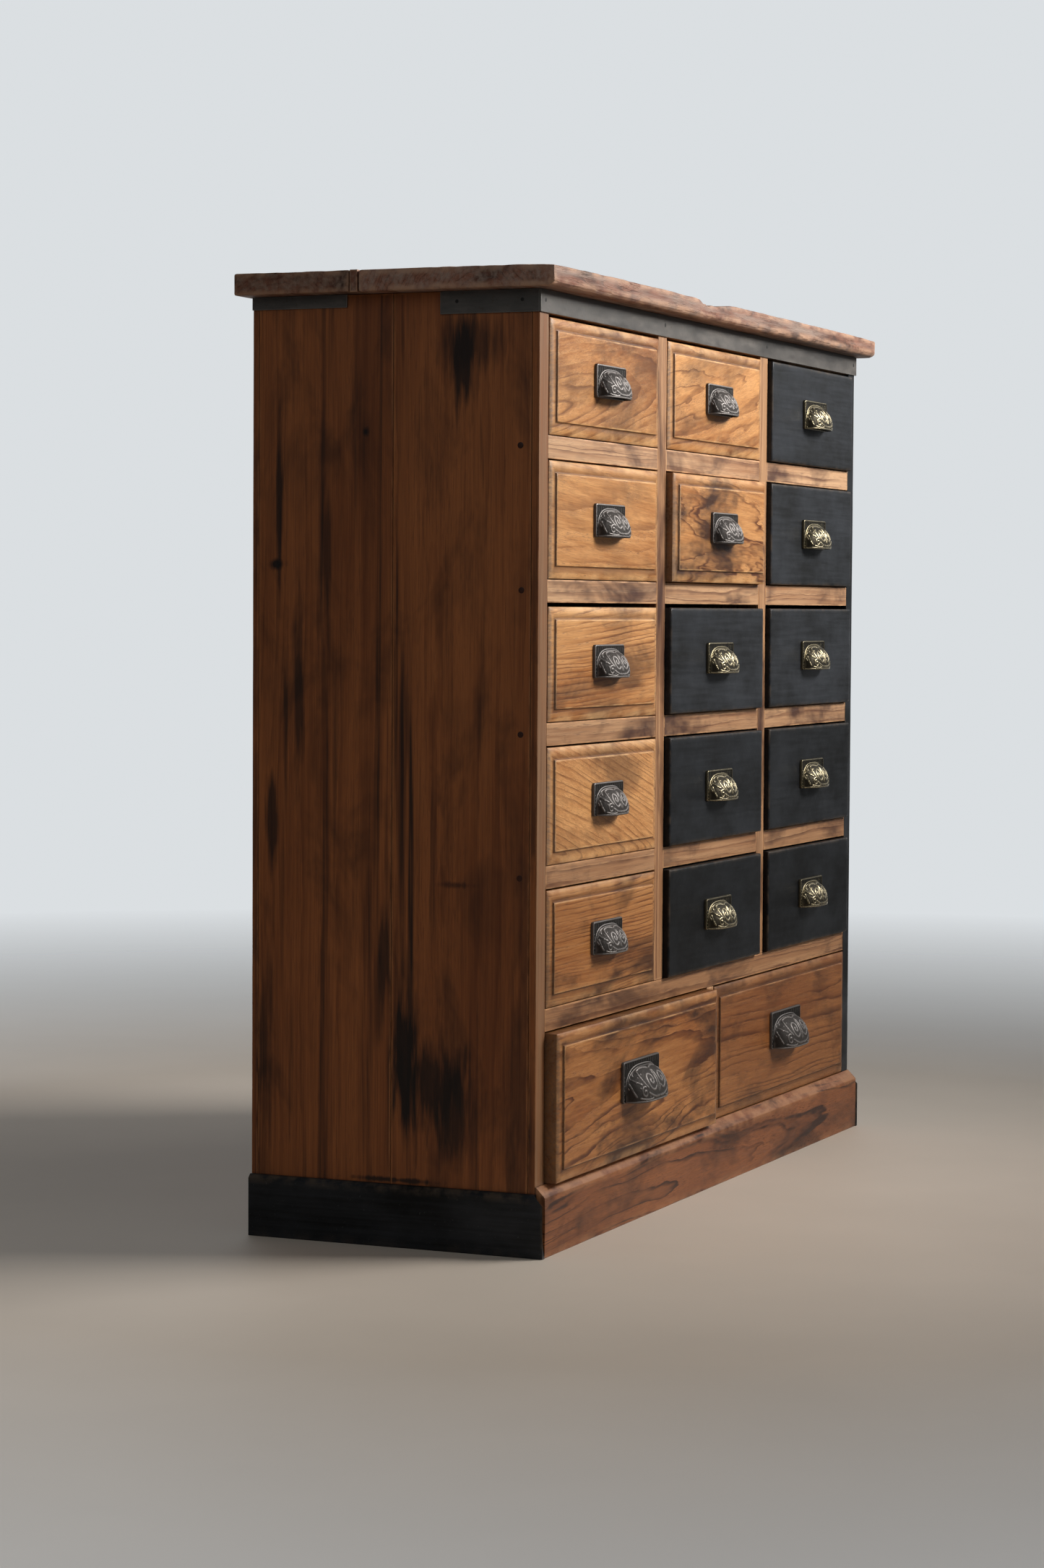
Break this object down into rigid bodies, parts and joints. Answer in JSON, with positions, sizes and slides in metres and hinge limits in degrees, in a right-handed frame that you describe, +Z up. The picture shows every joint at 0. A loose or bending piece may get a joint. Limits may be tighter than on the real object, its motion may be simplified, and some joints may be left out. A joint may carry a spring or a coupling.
{
  "type": "apothecary cabinet",
  "caption": "Upright wooden drawer cabinet with rows of small drawers over wide ones, cup pulls, a plank top and a plinth.",
  "frame": {"origin": "middle of the cabinet's overall box, on the floor", "axes": "+Z up, the drawers face -Y, +X to the right when facing the drawers"},
  "size_m": [1.041, 0.364, 0.9735],
  "materials": {
    "top_wood": "reclaimed plank, greyed and rough",
    "stained_panel": "dark stained boards, satin, with black streaks",
    "frame_wood": "brown stained hardwood, worn pale at the edges",
    "plinth_wood": "strongly figured board, satin",
    "drawer_wood": "honey brown figured wood, waxed",
    "box_wood": "plain pale wood, unvarnished",
    "black_paint": "blue-black satin paint over wood",
    "dark_steel": "dark grey satin steel",
    "old_iron": "antique pewter grey, bright on the high points",
    "aged_brass": "antique brass, dark in the hollows"
  },
  "bodies": {
    "cabinet": {"top_boards": "top_wood", "left_side_panel": "stained_panel", "right_side_panel": "black_paint", "back_panel": "stained_panel", "upright_dividers": "frame_wood", "rails_and_runners": "frame_wood", "metal_trim": "dark_steel", "plinth_front": "plinth_wood", "plinth_sides": "black_paint"},
    "c1_r1_drawer": {"c1_r1_front": "drawer_wood", "c1_r1_box": "box_wood", "c1_r1_pull": "old_iron"},
    "c1_r2_drawer": {"c1_r2_front": "drawer_wood", "c1_r2_box": "box_wood", "c1_r2_pull": "old_iron"},
    "c1_r3_drawer": {"c1_r3_front": "drawer_wood", "c1_r3_box": "box_wood", "c1_r3_pull": "old_iron"},
    "c1_r4_drawer": {"c1_r4_front": "drawer_wood", "c1_r4_box": "box_wood", "c1_r4_pull": "old_iron"},
    "c1_r5_drawer": {"c1_r5_front": "drawer_wood", "c1_r5_box": "box_wood", "c1_r5_pull": "old_iron"},
    "c2_r1_drawer": {"c2_r1_front": "drawer_wood", "c2_r1_box": "box_wood", "c2_r1_pull": "old_iron"},
    "c2_r2_drawer": {"c2_r2_front": "drawer_wood", "c2_r2_box": "box_wood", "c2_r2_pull": "old_iron"},
    "c2_r3_drawer": {"c2_r3_front": "black_paint", "c2_r3_box": "box_wood", "c2_r3_pull": "aged_brass"},
    "c2_r4_drawer": {"c2_r4_front": "black_paint", "c2_r4_box": "box_wood", "c2_r4_pull": "aged_brass"},
    "c2_r5_drawer": {"c2_r5_front": "black_paint", "c2_r5_box": "box_wood", "c2_r5_pull": "aged_brass"},
    "c3_r1_drawer": {"c3_r1_front": "black_paint", "c3_r1_box": "box_wood", "c3_r1_pull": "aged_brass"},
    "c3_r2_drawer": {"c3_r2_front": "black_paint", "c3_r2_box": "box_wood", "c3_r2_pull": "aged_brass"},
    "c3_r3_drawer": {"c3_r3_front": "black_paint", "c3_r3_box": "box_wood", "c3_r3_pull": "aged_brass"},
    "c3_r4_drawer": {"c3_r4_front": "black_paint", "c3_r4_box": "box_wood", "c3_r4_pull": "aged_brass"},
    "c3_r5_drawer": {"c3_r5_front": "black_paint", "c3_r5_box": "box_wood", "c3_r5_pull": "aged_brass"},
    "wide_left_drawer": {"wide_left_front": "drawer_wood", "wide_left_box": "box_wood", "wide_left_pull": "old_iron"},
    "wide_right_drawer": {"wide_right_front": "drawer_wood", "wide_right_box": "box_wood", "wide_right_pull": "old_iron"}
  },
  "joints": [
    {"name": "c1_r1_slide", "type": "slide", "parent": "cabinet", "child": "c1_r1_drawer", "axis": [0, -1, 0], "range_m": [0, 0.2]},
    {"name": "c1_r2_slide", "type": "slide", "parent": "cabinet", "child": "c1_r2_drawer", "axis": [0, -1, 0], "range_m": [0, 0.2]},
    {"name": "c1_r3_slide", "type": "slide", "parent": "cabinet", "child": "c1_r3_drawer", "axis": [0, -1, 0], "range_m": [0, 0.2]},
    {"name": "c1_r4_slide", "type": "slide", "parent": "cabinet", "child": "c1_r4_drawer", "axis": [0, -1, 0], "range_m": [0, 0.2]},
    {"name": "c1_r5_slide", "type": "slide", "parent": "cabinet", "child": "c1_r5_drawer", "axis": [0, -1, 0], "range_m": [0, 0.2]},
    {"name": "c2_r1_slide", "type": "slide", "parent": "cabinet", "child": "c2_r1_drawer", "axis": [0, -1, 0], "range_m": [0, 0.2]},
    {"name": "c2_r2_slide", "type": "slide", "parent": "cabinet", "child": "c2_r2_drawer", "axis": [0, -1, 0], "range_m": [-0.007, 0.193]},
    {"name": "c2_r3_slide", "type": "slide", "parent": "cabinet", "child": "c2_r3_drawer", "axis": [0, -1, 0], "range_m": [-0.005, 0.195]},
    {"name": "c2_r4_slide", "type": "slide", "parent": "cabinet", "child": "c2_r4_drawer", "axis": [0, -1, 0], "range_m": [-0.005, 0.195]},
    {"name": "c2_r5_slide", "type": "slide", "parent": "cabinet", "child": "c2_r5_drawer", "axis": [0, -1, 0], "range_m": [-0.005, 0.195]},
    {"name": "c3_r1_slide", "type": "slide", "parent": "cabinet", "child": "c3_r1_drawer", "axis": [0, -1, 0], "range_m": [-0.004, 0.196]},
    {"name": "c3_r2_slide", "type": "slide", "parent": "cabinet", "child": "c3_r2_drawer", "axis": [0, -1, 0], "range_m": [-0.004, 0.196]},
    {"name": "c3_r3_slide", "type": "slide", "parent": "cabinet", "child": "c3_r3_drawer", "axis": [0, -1, 0], "range_m": [-0.004, 0.196]},
    {"name": "c3_r4_slide", "type": "slide", "parent": "cabinet", "child": "c3_r4_drawer", "axis": [0, -1, 0], "range_m": [-0.004, 0.196]},
    {"name": "c3_r5_slide", "type": "slide", "parent": "cabinet", "child": "c3_r5_drawer", "axis": [0, -1, 0], "range_m": [-0.004, 0.196]},
    {"name": "wide_left_slide", "type": "slide", "parent": "cabinet", "child": "wide_left_drawer", "axis": [0, -1, 0], "range_m": [-0.012, 0.188]},
    {"name": "wide_right_slide", "type": "slide", "parent": "cabinet", "child": "wide_right_drawer", "axis": [0, -1, 0], "range_m": [0, 0.2]}
  ]
}
